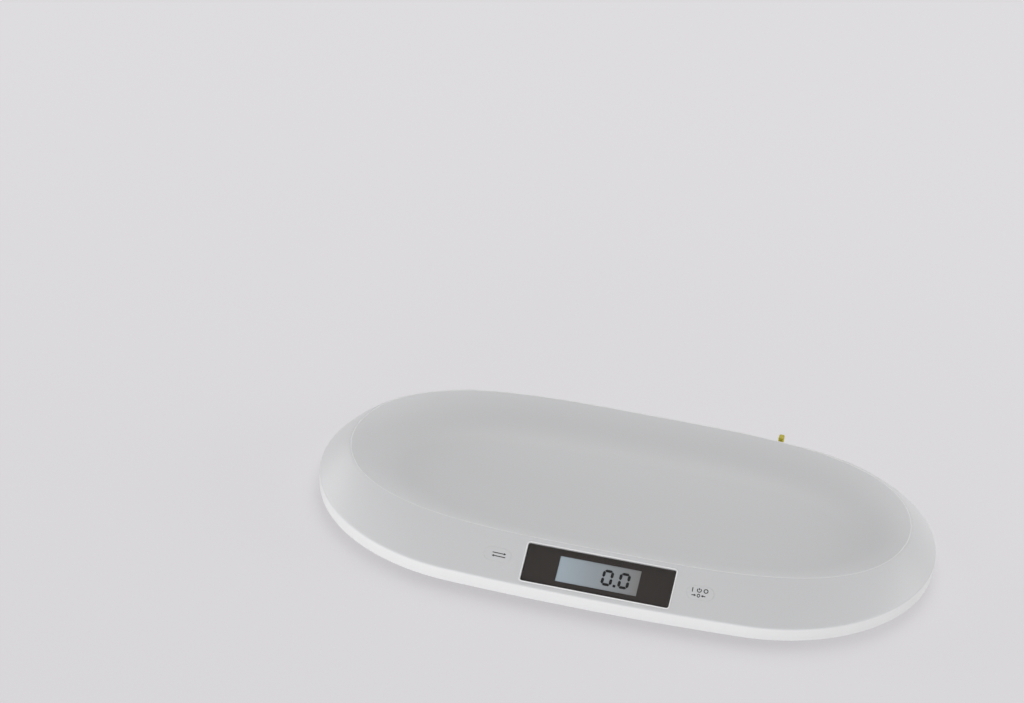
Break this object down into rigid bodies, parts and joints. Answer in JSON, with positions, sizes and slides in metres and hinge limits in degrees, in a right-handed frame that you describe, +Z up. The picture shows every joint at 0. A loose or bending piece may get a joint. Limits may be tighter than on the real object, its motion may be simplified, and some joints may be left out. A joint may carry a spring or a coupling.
{
  "type": "digital baby weighing scale",
  "caption": "Long white baby weighing tray with a shallow basin, a display and two keys on the front rim, a pull-out measuring tape and weighing feet.",
  "frame": {"origin": "on the floor under the middle of the whole scale, the tape's tab counted in", "axes": "+X along the scale to its right end, -Y towards the front with the display, +Z up"},
  "size_m": [0.5498, 0.3249, 0.0457],
  "materials": {
    "tray": "white high-gloss moulded plastic",
    "housing": "white satin moulded plastic",
    "key": "white semi-gloss plastic",
    "lens": "clear polished plastic window",
    "mask": "dark brown-black printed film",
    "lcd": "grey-green reflective liquid crystal display",
    "black_plastic": "black moulded plastic",
    "rubber": "soft grey rubber",
    "board": "green solder mask on board",
    "steel": "bright zinc-plated steel",
    "nickel": "nickel-plated spring steel",
    "cell": "plain dark sleeve on a steel can",
    "tape": "coated glass-fibre tape with a printed scale",
    "tab": "olive yellow moulded plastic",
    "wire": "red insulated lead"
  },
  "bodies": {
    "housing": {"top_tray": "tray", "bottom_cover": "housing", "tape_case": "housing", "tape_case_cover": "housing", "display_lens": "lens", "display_mask": "mask", "lcd_glass": "lcd", "lcd_holder": "black_plastic", "control_chip": "black_plastic", "unit_switch": "black_plastic", "power_switch": "black_plastic", "zebra_strip": "rubber", "unit_seal": "rubber", "power_seal": "rubber", "main_board": "board", "foot_pad_front_left": "rubber", "foot_cup_front_left": "housing", "load_cell_front_left": "steel", "sensor_clamp_front_left": "housing", "sensor_lead_front_left": "wire", "foot_pad_front_right": "rubber", "foot_cup_front_right": "housing", "load_cell_front_right": "steel", "sensor_clamp_front_right": "housing", "sensor_lead_front_right": "wire", "foot_pad_rear_left": "rubber", "foot_cup_rear_left": "housing", "load_cell_rear_left": "steel", "sensor_clamp_rear_left": "housing", "sensor_lead_rear_left": "wire", "foot_pad_rear_right": "rubber", "foot_cup_rear_right": "housing", "load_cell_rear_right": "steel", "sensor_clamp_rear_right": "housing", "sensor_lead_rear_right": "wire", "cover_screw_1": "steel", "cover_screw_2": "steel", "cover_screw_3": "steel", "cover_screw_4": "steel", "cover_screw_5": "steel", "cover_screw_6": "steel", "cover_screw_7": "steel", "cover_screw_8": "steel", "battery_cell_front": "cell", "battery_cell_rear": "cell", "battery_link": "nickel", "spring_terminal": "nickel", "button_terminal": "nickel", "return_spring": "steel", "reel_pin": "steel", "battery_lead": "wire"},
    "unit_key": {"unit_button": "key"},
    "power_key": {"power_button": "key"},
    "door": {"battery_door": "housing"},
    "tape": {"tape_blade": "tape", "tape_tab": "tab"},
    "reel": {"tape_reel": "black_plastic", "tape_coil": "tape"}
  },
  "joints": [
    {"name": "unit_press", "type": "slide", "parent": "housing", "child": "unit_key", "axis": [0.0296, 0.5496, -0.8349], "range_m": [0, 0.0005], "stiffness_N_per_m": 600},
    {"name": "power_press", "type": "slide", "parent": "housing", "child": "power_key", "axis": [-0.0296, 0.5496, -0.8349], "range_m": [0, 0.0005], "stiffness_N_per_m": 600},
    {"name": "battery_door", "type": "hinge", "parent": "housing", "child": "door", "pos_m": [0, 0.00483, 0.0086], "axis": [-1, 0, 0], "range_deg": [0, 90]},
    {"name": "tape_pull", "type": "slide", "parent": "housing", "child": "tape", "axis": [0, 1, 0], "range_m": [0, 0.2], "stiffness_N_per_m": 4, "springref_m": -0.15},
    {"name": "reel_spin", "type": "hinge", "parent": "housing", "child": "reel", "pos_m": [0.12755, 0.12222, 0.0165], "axis": [0, 0, 1], "range_deg": [-800, 800]}
  ],
  "couplings": [
    {"joint": "reel_spin", "follows": "tape_pull", "rad_per_m": -64.309}
  ]
}
